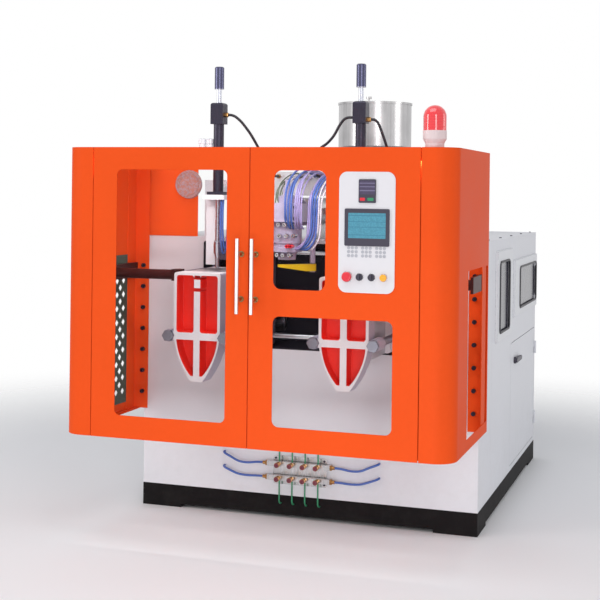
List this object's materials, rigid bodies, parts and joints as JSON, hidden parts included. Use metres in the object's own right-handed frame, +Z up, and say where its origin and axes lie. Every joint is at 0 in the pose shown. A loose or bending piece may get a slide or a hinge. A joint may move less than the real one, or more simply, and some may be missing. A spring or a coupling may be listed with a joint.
{
  "type": "blow moulding machine",
  "caption": "Cabinet machine that extrudes, clamps and blows bottles: hinged front doors with windows, sliding mould clamps, blow pins on top, rear extruder with hopper, side control panel.",
  "frame": {"origin": "centre of the footprint on the floor", "axes": "+X to the operator's right, +Y away from the operator, +Z up"},
  "size_m": [1.955, 2.929, 2.387],
  "materials": {
    "orange_paint": "satin powder coat",
    "white_paint": "satin powder coat",
    "black_paint": "satin paint",
    "dark_liner": "matt paint",
    "platen_paint": "grey-white paint with red pockets",
    "machine_grey": "hammered paint",
    "cast_frame": "painted casting",
    "ground_steel": "hard chromed and ground",
    "stainless": "brushed",
    "mould_alloy": "milled",
    "brass": "machined",
    "clear_pane": "clear acrylic",
    "dark_pane": "smoked acrylic",
    "red_lens": "translucent red",
    "pale_plastic": "moulded",
    "dark_plastic": "moulded",
    "red_plastic": "moulded",
    "amber_plastic": "moulded, lit",
    "yellow_paint": "gloss paint",
    "dark_steel": "blackened",
    "blue_hose": "smooth",
    "green_tube": "smooth",
    "black_hose": "smooth",
    "panel_white": "smooth film",
    "galvanised_mesh": "galvanised"
  },
  "bodies": {
    "machine": {"plinth": "black_paint", "front_panel": "white_paint", "roof_panel": "white_paint", "rear_panel": "white_paint", "side_panels": "white_paint", "side_window_covers": "white_paint", "side_window_panes": "dark_pane", "bay_liner": "dark_liner", "guide_rods": "ground_steel", "power_unit": "machine_grey", "hood_left_side": "orange_paint", "hood_right_side": "orange_paint", "hood_back_panel": "orange_paint", "vent_mesh": "galvanised_mesh", "beacon_base": "pale_plastic", "beacon_lens": "red_lens", "shift_cylinders": "dark_steel", "blow_frame": "white_paint", "blow_cylinders": "dark_steel", "air_hoses": "black_hose", "water_manifold": "stainless", "manifold_valves": "brass", "cooling_hoses": "blue_hose", "valve_tubes": "green_tube", "die_head": "machine_grey", "extruder_barrel": "stainless", "heater_bands": "stainless", "gear_motor": "machine_grey", "hopper": "stainless"},
    "left_door": {"left_door": "orange_paint", "left_door_window": "clear_pane", "left_door_handle": "stainless"},
    "right_door": {"right_door": "orange_paint", "right_door_windows": "clear_pane", "right_door_handle": "stainless", "control_panel": "panel_white", "panel_instruments": "dark_plastic"},
    "emergency_stop": {"emergency_stop": "red_plastic"},
    "start_button": {"start_button": "amber_plastic"},
    "left_selector": {"left_selector": "dark_plastic"},
    "right_selector": {"right_selector": "dark_plastic"},
    "lower_door": {"lower_door": "white_paint"},
    "door_lock": {"door_lock": "dark_plastic"},
    "hopper_lid": {"hopper_lid": "stainless"},
    "screw": {"screw": "ground_steel"},
    "cutter": {"cutter": "yellow_paint"},
    "left_blow_pin": {"left_blow_pin": "dark_steel"},
    "right_blow_pin": {"right_blow_pin": "dark_steel"},
    "left_carriage": {"left_carriage": "cast_frame"},
    "left_front_clamp": {"left_front_platen": "platen_paint", "left_tie_bars": "ground_steel", "left_front_mould": "mould_alloy"},
    "left_rear_clamp": {"left_rear_platen": "platen_paint", "left_rear_mould": "mould_alloy"},
    "right_carriage": {"right_carriage": "cast_frame"},
    "right_front_clamp": {"right_front_platen": "platen_paint", "right_tie_bars": "ground_steel", "right_front_mould": "mould_alloy"},
    "right_rear_clamp": {"right_rear_platen": "platen_paint", "right_rear_mould": "mould_alloy"}
  },
  "joints": [
    {"name": "left_door_swing", "type": "hinge", "parent": "machine", "child": "left_door", "pos_m": [-0.8, -1.386, 0.69], "axis": [0, 0, -1], "range_deg": [0, 100]},
    {"name": "right_door_swing", "type": "hinge", "parent": "machine", "child": "right_door", "pos_m": [0.8, -1.386, 0.69], "axis": [0, 0, 1], "range_deg": [0, 100]},
    {"name": "left_carriage_shift", "type": "slide", "parent": "machine", "child": "left_carriage", "axis": [1, 0, 0], "range_m": [0, 0.382]},
    {"name": "right_carriage_shift", "type": "slide", "parent": "machine", "child": "right_carriage", "axis": [1, 0, 0], "range_m": [-0.382, 0]},
    {"name": "left_front_opening", "type": "slide", "parent": "left_carriage", "child": "left_front_clamp", "axis": [0, -1, 0], "range_m": [0, 0.11]},
    {"name": "left_rear_opening", "type": "slide", "parent": "left_carriage", "child": "left_rear_clamp", "axis": [0, 1, 0], "range_m": [0, 0.11]},
    {"name": "right_front_opening", "type": "slide", "parent": "right_carriage", "child": "right_front_clamp", "axis": [0, -1, 0], "range_m": [0, 0.11]},
    {"name": "right_rear_opening", "type": "slide", "parent": "right_carriage", "child": "right_rear_clamp", "axis": [0, 1, 0], "range_m": [0, 0.11]},
    {"name": "left_blow_stroke", "type": "slide", "parent": "machine", "child": "left_blow_pin", "axis": [0, 0, 1], "range_m": [-0.062, 0]},
    {"name": "right_blow_stroke", "type": "slide", "parent": "machine", "child": "right_blow_pin", "axis": [0, 0, 1], "range_m": [-0.062, 0]},
    {"name": "emergency_stop_press", "type": "slide", "parent": "right_door", "child": "emergency_stop", "axis": [0, 1, 0], "range_m": [0, 0.006]},
    {"name": "start_button_press", "type": "slide", "parent": "right_door", "child": "start_button", "axis": [0, 1, 0], "range_m": [0, 0.006], "stiffness_N_per_m": 300},
    {"name": "left_selector_turn", "type": "hinge", "parent": "right_door", "child": "left_selector", "pos_m": [0.539, -1.3955, 1.362], "axis": [0, 1, 0], "range_deg": [-45, 45]},
    {"name": "right_selector_turn", "type": "hinge", "parent": "right_door", "child": "right_selector", "pos_m": [0.595, -1.3955, 1.362], "axis": [0, 1, 0], "range_deg": [-45, 45]},
    {"name": "lower_door_swing", "type": "hinge", "parent": "machine", "child": "lower_door", "pos_m": [0.944, 1.43045, 0.28], "axis": [0, 0, 1], "range_deg": [0, 110]},
    {"name": "door_lock_turn", "type": "hinge", "parent": "lower_door", "child": "door_lock", "pos_m": [0.936, 0.59446, 0.757], "axis": [-1, 0, 0], "range_deg": [0, 90]},
    {"name": "hopper_lid_lift", "type": "hinge", "parent": "machine", "child": "hopper_lid", "pos_m": [0, 1.0645, 2.307], "axis": [-1, 0, 0], "range_deg": [0, 110]},
    {"name": "screw_spin", "type": "hinge", "parent": "machine", "child": "screw", "pos_m": [0, 0.6045, 1.64], "axis": [0, 1, 0], "continuous": true},
    {"name": "cutter_swing", "type": "hinge", "parent": "machine", "child": "cutter", "pos_m": [0.118, -0.7955, 1.357], "axis": [0, 0, -1], "range_deg": [0, 60]}
  ],
  "couplings": [
    {"joint": "left_rear_opening", "follows": "left_front_opening", "ratio": 1},
    {"joint": "right_rear_opening", "follows": "right_front_opening", "ratio": 1}
  ]
}
